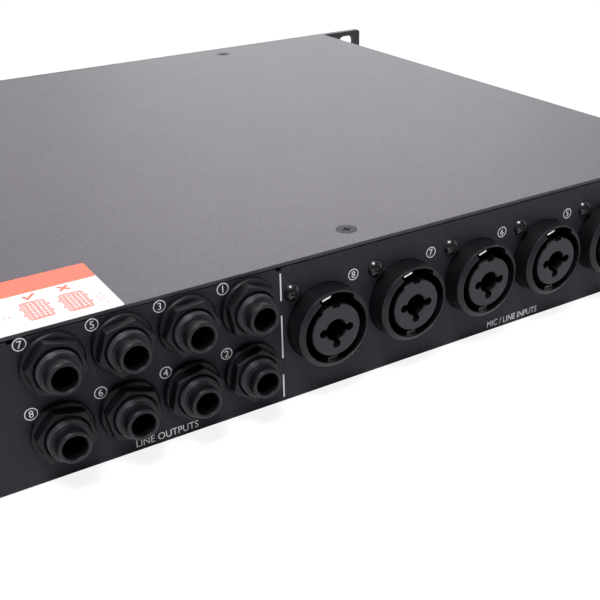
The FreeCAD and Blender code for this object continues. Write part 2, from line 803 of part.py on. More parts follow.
def rear_panel():
    plate = box((-wall_x, wall_x), (rear_inside, half_depth), (0, rear_top))
    tab_x = (divider_x + tab_start, divider_x + tab_start + tab_length)
    tab = box(tab_x, (half_depth - tab_depth, half_depth), (cover_under - sheet, cover_under))
    neck = box(tab_x, (rear_inside, half_depth), (0, cover_under))
    head = fused([tab, neck])
    bend = [e for e in head.Edges if abs(e.CenterOfMass.y - half_depth) < 0.01
            and abs(e.CenterOfMass.z - cover_under) < 0.01]
    panel = fused([plate, head.makeFillet(sheet, bend)])
    through = (-1, sheet + 1)
    tools = []
    for x in combo_rear_x:
        tools.append(at_rear(rod(combo_hole, through), x, combo_z))
        for side in (-1, 1):
            tools.append(at_rear(rod(screw_hole, through, side * combo_screw_x, -side * combo_screw_z),
                                 x, combo_z))
    tools += [at_rear(rod(jack_hole, through), x, z) for x, z in jack_places]
    for x in optical_places:
        tools.append(at_rear(slab(optical_width + 2 * cutout_gap, optical_height + 2 * cutout_gap, through),
                             x, optical_z))
    tools.append(at_rear(rod(clock_hole, through), clock_x, clock_z))
    tools.append(at_rear(slab(inlet_body_width + 2 * cutout_gap, inlet_body_height + 2 * cutout_gap, through),
                         inlet_x, inlet_z))
    for side in (-1, 1):
        tools.append(at_rear(rod(screw_hole, through, side * inlet_screw_x), inlet_x, inlet_z))
    for x in (tab_x[0] - notch_width / 2, tab_x[1] + notch_width / 2):
        tools.append(box((x - notch_width / 2, x + notch_width / 2), (half_depth - tab_depth, half_depth),
                         (cover_under - notch_drop, cover_under)))
    return panel.cut(Part.makeCompound(tools))


def top_cover():
    outer = box((-half_width, half_width), (-half_depth, half_depth), (cover_foot, body_height))
    long_edges = [e for e in outer.Edges if abs(e.CenterOfMass.z - body_height) < 0.01
                  and abs(abs(e.CenterOfMass.x) - half_width) < 0.01]
    outer = outer.makeFillet(cover_bend, long_edges)
    inner = box((-half_width + cover_sheet, half_width - cover_sheet), (-half_depth, half_depth),
                (cover_foot, cover_under))
    return cut_countersinks(outer.cut(inner).cut(vents()), cover_screw_places())


def front_panel():
    panel = box((-rack_width / 2, rack_width / 2), (-half_depth - panel_thick, -half_depth), (0, body_height))
    panel = panel.makeFillet(panel_corner, [e for e in panel.Edges if abs(e.tangentAt(0).y) > 0.9])
    tools = front_openings()
    for x in (-slot_span_x / 2, slot_span_x / 2):
        for z in (middle_z - slot_span_z / 2, middle_z + slot_span_z / 2):
            reach = slot_length / 2 - slot_radius
            through = (panel_front - 1, 1)
            ends = [rod(slot_radius, through, side * reach) for side in (-1, 1)]
            slot = fused(ends + [slab(2 * reach, 2 * slot_radius, through)])
            tools.append(at_front(slot, x, z))
    return cut_countersinks(panel.cut(Part.makeCompound(tools)), panel_screw_places())


# ---- inside ----------------------------------------------------------------------------------------
def board(x, y):
    return box(x, y, (board_under, board_top))


def jack_board():
    """Upright board behind the jack sockets, soldered to both rows."""
    xs = [x for x, z in jack_places]
    reach = jack_body / 2 + jack_board_margin
    y = half_depth - sheet - jack_body_depth
    return box((min(xs) - reach, max(xs) + reach), (y - board_thick, y),
               (board_top + bush_gap, jack_low_z + jack_row_gap + jack_body / 2))


def standoffs():
    pillars = []
    for x, y in ((main_board_x, main_board_y), (power_board_x, power_board_y)):
        for place_x in (x[0] + standoff_inset, (x[0] + x[1]) / 2, x[1] - standoff_inset):
            for place_y in (y[0] + standoff_inset, y[1] - standoff_inset):
                pillars.append(pillar(standoff_radius, (sheet, board_under), place_x, place_y))
    return pillars


def standing(width, depth, height, x, y, lift=0.0):
    return box((x - width / 2, x + width / 2), (y - depth / 2, y + depth / 2),
               (board_top + lift, board_top + lift + height))


def transformer():
    core = standing(core_width, core_depth, core_height, transformer_x, transformer_y)
    lift = (core_height - coil_height) / 2
    coil = standing(coil_width, coil_depth, coil_height, transformer_x, transformer_y, lift)
    return fused([core, coil])


def heat_sink(x, y):
    pieces = [standing(sink_width, fin_thick, sink_height, x, y)]
    for step in range(fin_count):
        fin_x = x + (step / (fin_count - 1) - 0.5) * (sink_width - fin_thick)
        pieces.append(standing(fin_thick, sink_depth, sink_height, fin_x, y))
    return fused(pieces)


def board_parts():
    parts = [heat_sink(transformer_x, sink_y)]
    for step in (-1.5, -0.5, 0.5, 1.5):
        parts.append(pillar(can_radius, (board_top, board_top + can_height), transformer_x + step * can_pitch,
                            can_y))
    for step in range(knob_count):
        x = strip_first_x + strip_pitch * step
        parts.append(standing(chip_width, chip_depth, chip_height, x, chip_y))
        parts.append(standing(relay_width, relay_depth, relay_height, x, relay_y))
    return parts


# ---- the nodes -------------------------------------------------------------------------------------
save("bottom_tray", [bottom_tray()])
save("sub_panel", [sub_panel()])
save("rear_panel", [rear_panel()] + cover_lugs())
save("top_cover", [top_cover()])
save("front_panel", [front_panel()])
save("case_screws", [pointed(flat_screw(cover_screw_length), place) for place in cover_screw_places()]
     + [pointed(flat_screw(panel_screw_length), place) for place in panel_screw_places()])

inserts = []
contacts = []
connector_screws = []
for number in range(1, combo_count + 1):
    if number <= front_combos:
        carry = at_front
        x = combo_front_x + combo_front_pitch * (number - 1)
        screw_seat = panel_front
    else:
        carry = at_rear
        x = combo_rear_x[combo_count - number]
        screw_seat = 0.0
    save("combo_housing_%d" % number, [carry(combo_housing(), x, combo_z)])
    inserts.append(carry(combo_insert(), x, combo_z))
    contacts += [carry(piece, x, combo_z) for piece in combo_contacts()]
    connector_screws += [carry(screw, x, combo_z) for screw in combo_screws(screw_seat)]
for side in (-1, 1):
    screw = moved(dome_screw(-inlet_plate_thick, combo_screw_length), side * inlet_screw_x)
    connector_screws.append(at_rear(screw, inlet_x, inlet_z))
save("combo_inserts", inserts)
save("combo_contacts", contacts)
save("connector_screws", connector_screws)

washers = [at_rear(washer(clock_hole), clock_x, clock_z)]
nuts = [at_rear(hex_nut(clock_hole, clock_nut_thick, -washer_thick), clock_x, clock_z)]
for number, (x, z) in enumerate(jack_places):
    save("jack_socket_%d" % (number + 1), [at_rear(jack_socket(), x, z)])
    washers.append(at_rear(washer(jack_hole), x, z))
    nut = about_y(hex_nut(jack_hole, nut_thick, -washer_thick), nut_turns[number])
    nuts.append(at_rear(nut, x, z))
save("panel_washers", washers)
save("panel_nuts", nuts)

save("optical_sockets", [at_rear(optical_socket(), x, optical_z) for x in optical_places])
for number, x in enumerate(optical_places):
    save("optical_shutter_%d" % (number + 1), [at_rear(optical_shutter(), x, optical_z)])
save("word_clock_socket", [at_rear(word_clock_socket(), clock_x, clock_z)])
save("mains_inlet", [at_rear(mains_inlet(), inlet_x, inlet_z)])
save("inlet_pins", [at_rear(pin, inlet_x, inlet_z) for pin in inlet_pins()])

for number, x in enumerate(knob_places):
    save("gain_knob_%d" % (number + 1), [at_front(piece, x, knob_z) for piece in gain_knob()])
save("gain_potentiometers", [at_front(gain_potentiometer(), x, knob_z) for x in knob_places])
for name, (x, z) in button_places.items():
    save(name, [at_front(push_button(), x, z)])
save("button_switches", [at_front(button_switch(), x, z) for x, z in button_places.values()])
save("signal_lamps", [at_front(signal_lamp(), x, z) for x, z in lamp_places])
save("rocker_frame", [at_front(rocker_frame(), rocker_x, rocker_z)])
save("power_rocker", [at_front(power_rocker(), rocker_x, rocker_z)])

save("main_board", [board(main_board_x, main_board_y)])
save("power_board", [board(power_board_x, power_board_y)])
save("jack_board", [jack_board()])
save("board_standoffs", standoffs())
save("transformer", [transformer()])
save("board_parts", board_parts())
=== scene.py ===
import math
import bpy
import numpy as np
from mathutils import Matrix, Vector


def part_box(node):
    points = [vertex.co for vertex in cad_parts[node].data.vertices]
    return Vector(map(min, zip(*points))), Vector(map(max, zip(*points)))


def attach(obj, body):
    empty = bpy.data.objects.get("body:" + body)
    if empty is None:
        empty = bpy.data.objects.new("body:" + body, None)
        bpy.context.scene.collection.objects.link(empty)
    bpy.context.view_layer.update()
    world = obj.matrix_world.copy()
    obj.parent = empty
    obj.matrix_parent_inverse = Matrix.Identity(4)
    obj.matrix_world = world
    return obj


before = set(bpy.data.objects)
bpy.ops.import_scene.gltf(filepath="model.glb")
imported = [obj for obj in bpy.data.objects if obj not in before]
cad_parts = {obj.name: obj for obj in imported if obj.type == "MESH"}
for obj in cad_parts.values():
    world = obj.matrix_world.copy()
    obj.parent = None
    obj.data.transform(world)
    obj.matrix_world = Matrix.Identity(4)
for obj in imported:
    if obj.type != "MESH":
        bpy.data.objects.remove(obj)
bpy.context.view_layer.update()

MM = 0.001
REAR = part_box("rear_panel")[1][1]
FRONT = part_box("front_panel")[0][1]
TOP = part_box("top_cover")[1][2]
print("rear plane %.4f, front plane %.4f, top %.4f m" % (REAR, FRONT, TOP))


def centre(node):
    """The middle of a CAD node's box."""
    low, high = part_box(node)
    return (np.array(low) + np.array(high)) / 2


jack_centres = {n: centre("jack_socket_%d" % n) for n in range(1, 9)}
combo_centres = {n: centre("combo_housing_%d" % n) for n in range(1, 9)}
knob_centres = {n: centre("gain_knob_%d" % n) for n in range(1, 9)}

# %% [markdown]
# The camera stands behind the case, to the left of the sockets, and looks down along them. A lens of 58 mm on
# the standard 36 mm sensor gives a mild perspective. The place and the three directions of the camera are
# written as a matrix, which is the plainest way to fix a small roll as well as the aim.

# %% Camera
CAMERA_PLACE = (0.0741, REAR + 0.20717, 0.15157)
CAMERA_RIGHT = (-0.8535, 0.5206, -0.0204)
CAMERA_UP = (-0.2486, -0.3726, 0.8941)
LENS = 58.0
SENSOR = 36.0


def make_camera():
    """A camera whose axes are the right and up directions above, made square to each other."""
    right = Vector(CAMERA_RIGHT).normalized()
    back = right.cross(Vector(CAMERA_UP)).normalized()
    up = back.cross(right)
    data = bpy.data.cameras.new("view")
    data.lens = LENS
    data.sensor_width = SENSOR
    data.clip_start = 0.01
    data.clip_end = 20.0
    camera = bpy.data.objects.new("view", data)
    bpy.context.scene.collection.objects.link(camera)
    turn = Matrix((right, up, back)).transposed().to_4x4()
    camera.matrix_world = Matrix.Translation(CAMERA_PLACE) @ turn
    bpy.context.scene.camera = camera


make_camera()
bpy.context.scene.view_settings.view_transform = "Standard"

# %% [markdown]
# The stage is a pale floor and a studio world. A camera ray sees the floor mostly as flat white, and a little
# of the lit paint under it keeps the object's shadow. The world answers a camera ray with pure white too. A
# glossy ray gets a bright sky over the front of the case and a dim one behind the camera: the cover, seen at
# a low angle, then has a pale sheen, while the upright rear panel stays dark.

# %% Floor and world
FLOOR_SIZE = 6.0
FLOOR_DROP = 0.4 * MM
FLOOR_PAINT = 0.9
FLOOR_ROUGHNESS = 0.9
FLOOR_WHITE = 0.78
FLOOR_GLOW = 1.1
WORLD_LEVEL = 0.2
SKY_FRONT = 1.36
SKY_REAR = 0.13
SKY_BLEND = 0.5


def principled(name):
    """A new material, its node tree and its Principled shader."""
    material = bpy.data.materials.new(name)
    material.use_nodes = True
    tree = material.node_tree
    return material, tree, tree.nodes["Principled BSDF"]


def node(tree, kind, links=(), **values):
    """A node with its values set, and its inputs linked from other sockets by name or number."""
    made = tree.nodes.new(kind)
    for name, value in values.items():
        if hasattr(made, name):
            setattr(made, name, value)
        else:
            made.inputs[name.replace("_", " ")].default_value = value
    for name, socket in links:
        tree.links.new(socket, made.inputs[name])
    return made


def sum_of(tree, a, b, factor):
    """The socket a + b x factor; a and b are sockets or numbers."""
    made = node(tree, "ShaderNodeMath", operation="MULTIPLY_ADD")
    for index, value in enumerate((b, factor, a)):
        if isinstance(value, (int, float)):
            made.inputs[index].default_value = value
        else:
            tree.links.new(value, made.inputs[index])
    return made.outputs[0]


def make_floor():
    half = FLOOR_SIZE / 2
    mesh = bpy.data.meshes.new("floor")
    corners = [(-half, -half, 0), (half, -half, 0), (half, half, 0), (-half, half, 0)]
    mesh.from_pydata(corners, [], [(0, 1, 2, 3)])
    floor = bpy.data.objects.new("floor", mesh)
    bpy.context.scene.collection.objects.link(floor)
    floor.location = (0, 0, -FLOOR_DROP)
    material, tree, shader = principled("white floor")
    shader.inputs["Base Color"].default_value = (FLOOR_PAINT, FLOOR_PAINT, FLOOR_PAINT, 1)
    shader.inputs["Roughness"].default_value = FLOOR_ROUGHNESS
    glow = node(tree, "ShaderNodeEmission", Strength=FLOOR_GLOW)
    path = tree.nodes.new("ShaderNodeLightPath")
    seen = sum_of(tree, 0.0, path.outputs["Is Camera Ray"], FLOOR_WHITE)
    mix = node(tree, "ShaderNodeMixShader", [(0, seen), (1, shader.outputs[0]), (2, glow.outputs[0])])
    tree.links.new(mix.outputs[0], tree.nodes["Material Output"].inputs["Surface"])
    mesh.materials.append(material)


def make_world():
    """Strength = level + camera (1 - level) + transmission (1 - level) + glossy (sky - level).

    The sky goes from SKY_FRONT to SKY_REAR as the ray's Y goes from -SKY_BLEND to SKY_BLEND.
    """
    world = bpy.data.worlds.new("studio")
    bpy.context.scene.world = world
    world.use_nodes = True
    tree = world.node_tree
    background = tree.nodes["Background"]
    background.inputs["Color"].default_value = (1, 1, 1, 1)
    way = tree.nodes.new("ShaderNodeTexCoord").outputs["Generated"]
    parts = node(tree, "ShaderNodeSeparateXYZ", [(0, way)])
    sky = node(tree, "ShaderNodeMapRange", [("Value", parts.outputs["Y"])], interpolation_type="SMOOTHSTEP")
    for socket, value in (("From Min", -SKY_BLEND), ("From Max", SKY_BLEND),
                          ("To Min", SKY_FRONT), ("To Max", SKY_REAR)):
        sky.inputs[socket].default_value = value
    extra = sum_of(tree, -WORLD_LEVEL, sky.outputs["Result"], 1.0)
    path = tree.nodes.new("ShaderNodeLightPath")
    level = sum_of(tree, WORLD_LEVEL, path.outputs["Is Camera Ray"], 1 - WORLD_LEVEL)
    level = sum_of(tree, level, path.outputs["Is Transmission Ray"], 1 - WORLD_LEVEL)
    level = sum_of(tree, level, path.outputs["Is Glossy Ray"], extra)
    tree.links.new(level, background.inputs["Strength"])


make_floor()
make_world()

# %% [markdown]
# Three soft area lamps: one beyond the front of the case, whose light skims the cover towards the camera and
# adds to its pale sheen, a key lamp high above and behind the camera, and a weak fill from beyond the far end
# of the rear panel. Area lamps are used because a large lamp makes the soft-edged highlights of a studio.

# %% Lamps
LAMP_COLOUR = (1.0, 0.982, 1.012)


def lamp(name, place, aim, size, power):
    """A square area lamp at a place, turned to face a point."""
    data = bpy.data.lights.new(name, "AREA")
    data.shape = "SQUARE"
    data.size = size
    data.energy = power
    data.color = LAMP_COLOUR
    light = bpy.data.objects.new(name, data)
    bpy.context.scene.collection.objects.link(light)
    way = Vector(aim) - Vector(place)
    turn = way.to_track_quat("-Z", "Y").to_matrix().to_4x4()
    light.matrix_world = Matrix.Translation(place) @ turn


lamp("sheen lamp", (-0.9, -1.2, 0.7), (-0.1, 0.05, 0.04), 0.9, 3.3)
lamp("key lamp", (0.25, 0.5, 1.3), (-0.05, 0.12, 0.02), 0.4, 18.0)
lamp("fill lamp", (-1.1, 0.9, 0.5), (-0.1, 0.12, 0.02), 0.7, 2.2)

# %% [markdown]
# Nearly every finish here is a moulded or coated one, and up close they all have the same three traits: a
# fine grain in the surface, a slight drift of colour and gloss from place to place, and worn, paler edges.
# They are built once, as a node group that puts out a colour, a roughness and a normal, and each material
# places the group with its own sizes. Noise in Object coordinates needs no unwrapping and stays put.

# %% Node group: grained finish
DRIFT_SCALE = 60.0
ROUGHNESS_DRIFT = 0.02
BEVEL_SAMPLES = 6
EDGE_TURN = (0.98, 0.8)


def group_sockets(group, inputs, outputs):
    """Adds named sockets: each input is (name, kind, value), each output is (name, kind)."""
    for name, kind, value in inputs:
        socket = group.interface.new_socket(name=name, in_out="INPUT", socket_type=kind)
        socket.default_value = value
    for name, kind in outputs:
        group.interface.new_socket(name=name, in_out="OUTPUT", socket_type=kind)


def grained_finish():
    """Colour = base x (1 + spread x fine noise) x shade, paler on edges; roughness drifts with coarse noise.

    Shade = Side Shade + (1 - Side Shade) x (normal . Main Axis)^2 is painted shade: it is 1 where a face
    looks along the axis and darker where a face turns away from it.
    """
    group = bpy.data.node_groups.new("grained finish", "ShaderNodeTree")
    group_sockets(group, [
        ("Color", "NodeSocketColor", (0.05, 0.05, 0.05, 1)),
        ("Worn Color", "NodeSocketColor", (0.2, 0.2, 0.2, 1)),
        ("Roughness", "NodeSocketFloat", 0.5),
        ("Grain Scale", "NodeSocketFloat", 2000.0),
        ("Color Spread", "NodeSocketFloat", 0.3),
        ("Bump", "NodeSocketFloat", 0.2),
        ("Bump Depth", "NodeSocketFloat", 0.0001),
        ("Edge Radius", "NodeSocketFloat", 0.0002),
        ("Edge Wear", "NodeSocketFloat", 0.3),
        ("Side Shade", "NodeSocketFloat", 1.0),
        ("Main Axis", "NodeSocketVector", (0, 1, 0)),
    ], [("Color", "NodeSocketColor"), ("Roughness", "NodeSocketFloat"), ("Normal", "NodeSocketVector")])
    given = group.nodes.new("NodeGroupInput")
    result = group.nodes.new("NodeGroupOutput")
    where = group.nodes.new("ShaderNodeTexCoord").outputs["Object"]
    fine = node(group, "ShaderNodeTexNoise", [("Vector", where), ("Scale", given.outputs["Grain Scale"])],
                Detail=2.0, Roughness=0.6)
    drift = node(group, "ShaderNodeTexNoise", [("Vector", where)], Scale=DRIFT_SCALE, Detail=4.0)
    centred = node(group, "ShaderNodeMath", [(0, fine.outputs["Fac"])], operation="SUBTRACT")
    centred.inputs[1].default_value = 0.5
    spread = node(group, "ShaderNodeMath", [(0, centred.outputs[0]), (1, given.outputs["Color Spread"])],
                  operation="MULTIPLY")
    flat = group.nodes.new("ShaderNodeNewGeometry").outputs["Normal"]
    # Painted shade: the colour is darkened on faces that turn away from the Main Axis, down to Side Shade on
    # faces square to it.
    along = node(group, "ShaderNodeVectorMath", [(0, flat), (1, given.outputs["Main Axis"])],
                 operation="DOT_PRODUCT").outputs["Value"]
    facing = node(group, "ShaderNodeMath", [(0, along), (1, along)], operation="MULTIPLY")
    shade = node(group, "ShaderNodeMapRange", [("Value", facing.outputs[0]),
                                               ("To Min", given.outputs["Side Shade"])])
    gain = sum_of(group, 1.0, spread.outputs[0], 1.0)
    gain = sum_of(group, 0.0, gain, shade.outputs["Result"])
    tint = node(group, "ShaderNodeVectorMath", [(0, given.outputs["Color"]), ("Scale", gain)],
                operation="SCALE")
    soft = node(group, "ShaderNodeBevel", [("Radius", given.outputs["Edge Radius"])], samples=BEVEL_SAMPLES)
    turn = node(group, "ShaderNodeVectorMath", [(0, soft.outputs[0]), (1, flat)], operation="DOT_PRODUCT")
    edge = node(group, "ShaderNodeMapRange", [("Value", turn.outputs["Value"])])
    edge.inputs["From Min"].default_value = EDGE_TURN[0]
    edge.inputs["From Max"].default_value = EDGE_TURN[1]
    worn = node(group, "ShaderNodeMath", [(0, edge.outputs["Result"]), (1, given.outputs["Edge Wear"])],
                operation="MULTIPLY")
    patchy = node(group, "ShaderNodeMath", [(0, worn.outputs[0]), (1, drift.outputs["Fac"])],
                  operation="MULTIPLY")
    mix = node(group, "ShaderNodeMix", [("Factor", patchy.outputs[0])], data_type="RGBA")
    group.links.new(tint.outputs[0], mix.inputs["A"])
    group.links.new(given.outputs["Worn Color"], mix.inputs["B"])
    group.links.new(mix.outputs["Result"], result.inputs["Color"])
    wander = node(group, "ShaderNodeMapRange", [("Value", drift.outputs["Fac"])])
    wander.inputs["To Min"].default_value = -ROUGHNESS_DRIFT
    wander.inputs["To Max"].default_value = ROUGHNESS_DRIFT
    rough = node(group, "ShaderNodeMath", [(0, given.outputs["Roughness"]), (1, wander.outputs["Result"])],
                 operation="ADD")
    group.links.new(rough.outputs[0], result.inputs["Roughness"])
    bump = node(group, "ShaderNodeBump", [("Height", fine.outputs["Fac"]), ("Normal", soft.outputs[0]),
                                          ("Strength", given.outputs["Bump"]),
                                          ("Distance", given.outputs["Bump Depth"])])
    group.links.new(bump.outputs[0], result.inputs["Normal"])
    return group


GRAINED = grained_finish()


def finish(name, color, worn, roughness, grain, spread, bump, depth, edge, wear, metallic=0.0, side=1.0,
           specular=0.5, axis=(0, 1, 0)):
    """A material that places the grained finish with its own values.

    Grain is the scale of the fine noise per metre; depth and edge are lengths in metres. A side below 1
    paints shade on the faces turned away from the axis.
    """
    material, tree, shader = principled(name)
    placed = tree.nodes.new("ShaderNodeGroup")
    placed.node_tree = GRAINED
    values = {"Color": (*color, 1), "Worn Color": (*worn, 1), "Roughness": roughness,
              "Grain Scale": grain, "Color Spread": spread, "Bump": bump, "Bump Depth": depth,
              "Edge Radius": edge, "Edge Wear": wear, "Side Shade": side, "Main Axis": axis}
    for socket, value in values.items():
        placed.inputs[socket].default_value = value
    tree.links.new(placed.outputs["Color"], shader.inputs["Base Color"])
    tree.links.new(placed.outputs["Roughness"], shader.inputs["Roughness"])
    tree.links.new(placed.outputs["Normal"], shader.inputs["Normal"])
    shader.inputs["Metallic"].default_value = metallic
    shader.inputs["Specular IOR Level"].default_value = specular
    material.diffuse_color = (*color, 1)
    return material


# %% [markdown]
# The finishes of this kind of case: powder coat on the sheet steel, glass-filled nylon on the sockets, black
# screws, anodised aluminium on the front, soft-touch knobs. Shade is painted into the colour of the sockets,
# their inserts, the nuts and the case: the sockets, inserts and nuts are darker on their sides than on the
# faces that look along the case's depth, and the cover and tray are darker on their upright sides than on
# their top.

# %% Finishes
BRASS = (0.78, 0.62, 0.36)
NICKEL_PLATE = (0.8, 0.79, 0.77)

# The side values below are painted shade: darker colour on the sides of the case, the sockets, their inserts
# and the nuts.
cover_coat = finish("cover powder coat", (0.076, 0.067, 0.085), (0.16, 0.155, 0.165), 0.46, 1500.0, 1.2,
                    0.7, 0.00012, 0.0003, 0.25, side=0.35, axis=(0, 0, 1))
panel_coat = finish("panel powder coat", (0.0215, 0.0188, 0.0275), (0.085, 0.08, 0.095), 0.55, 1700.0, 0.5,
                    0.4, 0.0001, 0.0002, 0.4, specular=0.22)
nylon = finish("moulded nylon", (0.0135, 0.0122, 0.0172), (0.07, 0.068, 0.075), 0.42, 2600.0, 0.3,
               0.2, 0.00006, 0.00025, 0.5, side=0.3, specular=0.34)
nut_nylon = finish("nut nylon", (0.0088, 0.0076, 0.0115), (0.06, 0.056, 0.066), 0.42, 2200.0, 0.3,
                   0.2, 0.00006, 0.0003, 0.6, side=0.35, specular=0.26)
insert_nylon = finish("insert nylon", (0.0215, 0.0198, 0.0265), (0.06, 0.058, 0.064), 0.45, 3000.0, 0.35,
                      0.25, 0.00006, 0.00015, 0.3, side=0.05, specular=0.35)
black_steel = finish("black screw steel", (0.007, 0.0066, 0.0078), (0.2, 0.2, 0.21), 0.24, 3500.0, 0.3,
                     0.2, 0.00005, 0.0001, 0.5, specular=0.6)
case_steel = finish("case screw steel", (0.03, 0.028, 0.032), (0.2, 0.2, 0.21), 0.55, 3500.0, 0.3,
                    0.2, 0.00005, 0.0001, 0.4, specular=0.25)
nickel = finish("bright nickel", (0.70, 0.69, 0.66), (0.85, 0.84, 0.82), 0.25, 3000.0, 0.08,
                0.08, 0.00003, 0.0001, 0.2, metallic=1.0)
contact_metal = finish("contact metal", BRASS, (0.9, 0.8, 0.6), 0.3, 3000.0, 0.15,
                       0.1, 0.00003, 0.00005, 0.2, metallic=1.0)
front_metal = finish("front panel anodising", (0.035, 0.034, 0.038), (0.35, 0.35, 0.36), 0.42, 1400.0, 0.25,
                     0.2, 0.00005, 0.0003, 0.7, metallic=0.35)
knob_plastic = finish("knob plastic", (0.02, 0.0195, 0.022), (0.09, 0.09, 0.09), 0.45, 2500.0, 0.25,
                      0.15, 0.00005, 0.0002, 0.4)
button_plastic = finish("button plastic", (0.42, 0.42, 0.43), (0.6, 0.6, 0.6), 0.4, 2500.0, 0.1,
                        0.1, 0.00004, 0.0002, 0.3)
rocker_plastic = finish("rocker plastic", (0.015, 0.015, 0.016), (0.08, 0.08, 0.08), 0.25, 2500.0, 0.2,
                        0.1, 0.00004, 0.0002, 0.3)
green_board = finish("board mask", (0.02, 0.13, 0.06), (0.2, 0.3, 0.2), 0.35, 900.0, 0.3,
                     0.1, 0.00003, 0.0001, 0.2)
zinc = finish("zinc", (0.6, 0.6, 0.58), (0.8, 0.8, 0.8), 0.35, 1500.0, 0.2, 0.1, 0.00004, 0.0001, 0.3,
              metallic=1.0)
iron = finish("core iron", (0.12, 0.11, 0.11), (0.3, 0.3, 0.3), 0.5, 1500.0, 0.3, 0.2, 0.00005, 0.0001, 0.4,
              metallic=0.5)
part_plastic = finish("part plastic", (0.03, 0.03, 0.035), (0.1, 0.1, 0.1), 0.45, 2500.0, 0.2,
                      0.1, 0.00005, 0.0001, 0.3)
lamp_plastic = finish("lamp plastic", (0.35, 0.75, 0.45), (0.7, 0.9, 0.7), 0.3, 2000.0, 0.1,
                      0.05, 0.00003, 0.0001, 0.1)
white_ink = finish("white ink", (0.8, 0.8, 0.81), (0.7, 0.7, 0.7), 0.5, 2500.0, 0.12,
                   0.1, 0.00003, 0.00001, 0.0)
paper = finish("sticker paper", (0.93, 0.92, 0.93), (0.93, 0.92, 0.93), 0.42, 1200.0, 0.03,
               0.05, 0.00004, 0.00005, 0.0)
coral_ink = finish("coral ink", (0.97, 0.235, 0.16), (0.97, 0.25, 0.18), 0.5, 1200.0, 0.06,
                   0.05, 0.00004, 0.00002, 0.0, specular=0.2)

CONTACT_BAND = 7.6 * MM


def color_by(material, factor, first, second):
    """Links a mix of two colours into the Color of the finish that a material places."""
    tree = material.node_tree
    placed = next(n for n in tree.nodes if n.type == "GROUP")
    mix = node(tree, "ShaderNodeMix", [("Factor", factor)], data_type="RGBA")
    mix.inputs["A"].default_value = (*first, 1)
    mix.inputs["B"].default_value = (*second, 1)
    tree.links.new(mix.outputs["Result"], placed.inputs["Color"])


def plate_far_contacts():
    """The contact metal is brass near the height of the sockets' axes, and nickel above and below."""
    tree = contact_metal.node_tree
    where = tree.nodes.new("ShaderNodeTexCoord").outputs["Object"]
    parts = node(tree, "ShaderNodeSeparateXYZ", [(0, where)])
    apart = node(tree, "ShaderNodeMath", [(0, parts.outputs["Z"])], operation="SUBTRACT")
    apart.inputs[1].default_value = float(combo_centres[8][2])
    size = node(tree, "ShaderNodeMath", [(0, apart.outputs[0])], operation="ABSOLUTE")
    far = node(tree, "ShaderNodeMath", [(0, size.outputs[0])], operation="GREATER_THAN")
    far.inputs[1].default_value = CONTACT_BAND
    color_by(contact_metal, far.outputs[0], BRASS, NICKEL_PLATE)


plate_far_contacts()

NODE_FINISH = {
    "top_cover": cover_coat, "bottom_tray": cover_coat, "rear_panel": panel_coat, "sub_panel": panel_coat,
    "front_panel": front_metal, "case_screws": case_steel, "connector_screws": black_steel,
    "combo_inserts": insert_nylon, "combo_contacts": contact_metal, "panel_washers": nut_nylon,
    "panel_nuts": nut_nylon, "optical_sockets": nylon, "optical_shutter_1": knob_plastic,
    "optical_shutter_2": knob_plastic, "word_clock_socket": nickel, "mains_inlet": nylon,
    "inlet_pins": nickel, "gain_potentiometers": zinc, "button_switches": part_plastic,
    "signal_lamps": lamp_plastic, "rocker_frame": nylon, "power_rocker": rocker_plastic,
    "main_board": green_board, "power_board": green_board, "jack_board": green_board,
    "board_standoffs": zinc, "transformer": iron, "board_parts": part_plastic,
}
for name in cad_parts:
    if name.startswith("combo_housing") or name.startswith("jack_socket"):
        NODE_FINISH[name] = nylon
    elif name.startswith("gain_knob"):
        NODE_FINISH[name] = knob_plastic
    elif "button_" in name and name != "button_switches" or name.endswith("_button"):
        NODE_FINISH[name] = button_plastic


def paint(piece, material):
    piece.data.materials.clear()
    piece.data.materials.append(material)


for name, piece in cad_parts.items():
    paint(piece, NODE_FINISH[name])
print("finishes on %d nodes" % len(NODE_FINISH))

# %% [markdown]
# New pieces are placed on one of three faces of the case. Each face has a right, an up and an outward
# direction, as someone who looks straight at it sees them. A helper carries points from that flat page onto
# the face, so that a ring or a letter is drawn once, flat, and read the right way round on each face.

# %% Pages, and meshes from arrays
PAGES = {
    "rear": ((-1, 0, 0), (0, 0, 1), (0, 1, 0)),
    "front": ((1, 0, 0), (0, 0, 1), (0, -1, 0)),
    "top": ((-1, 0, 0), (0, -1, 0), (0, 0, 1)),
}


def onto(page, points, origin):
    """Points (right, up, out) on a page, carried to the case: origin + right r + up u + out o."""
    axes = np.array(PAGES[page], float)
    return np.asarray(points, float) @ axes + np.asarray(origin, float)


def new_piece(name, vertices, faces, material, body="case", smooth=False):
    """A mesh piece that rides on a body, with its place in its mesh."""
    mesh = bpy.data.meshes.new(name)
    mesh.from_pydata(np.asarray(vertices).tolist(), [], [list(map(int, f)) for f in faces])
    mesh.validate()
    if smooth:
        mesh.polygons.foreach_set("use_smooth", np.ones(len(mesh.polygons), bool))
    mesh.materials.append(material)
    piece = bpy.data.objects.new(name, mesh)
    bpy.context.scene.collection.objects.link(piece)
    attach(piece, body)
    return piece


def grid_faces(rows, columns, close_rows=False, close_columns=False):
    """Quads of a grid of points, row by row, optionally closed in either direction."""
    r = np.arange(rows if close_rows else rows - 1)
    c = np.arange(columns if close_columns else columns - 1)
    r, c = np.meshgrid(r, c, indexing="ij")
    r2 = (r + 1) % rows
    c2 = (c + 1) % columns
    quads = np.stack([r * columns + c, r * columns + c2, r2 * columns + c2, r2 * columns + c], axis=-1)
    return quads.reshape(-1, 4)


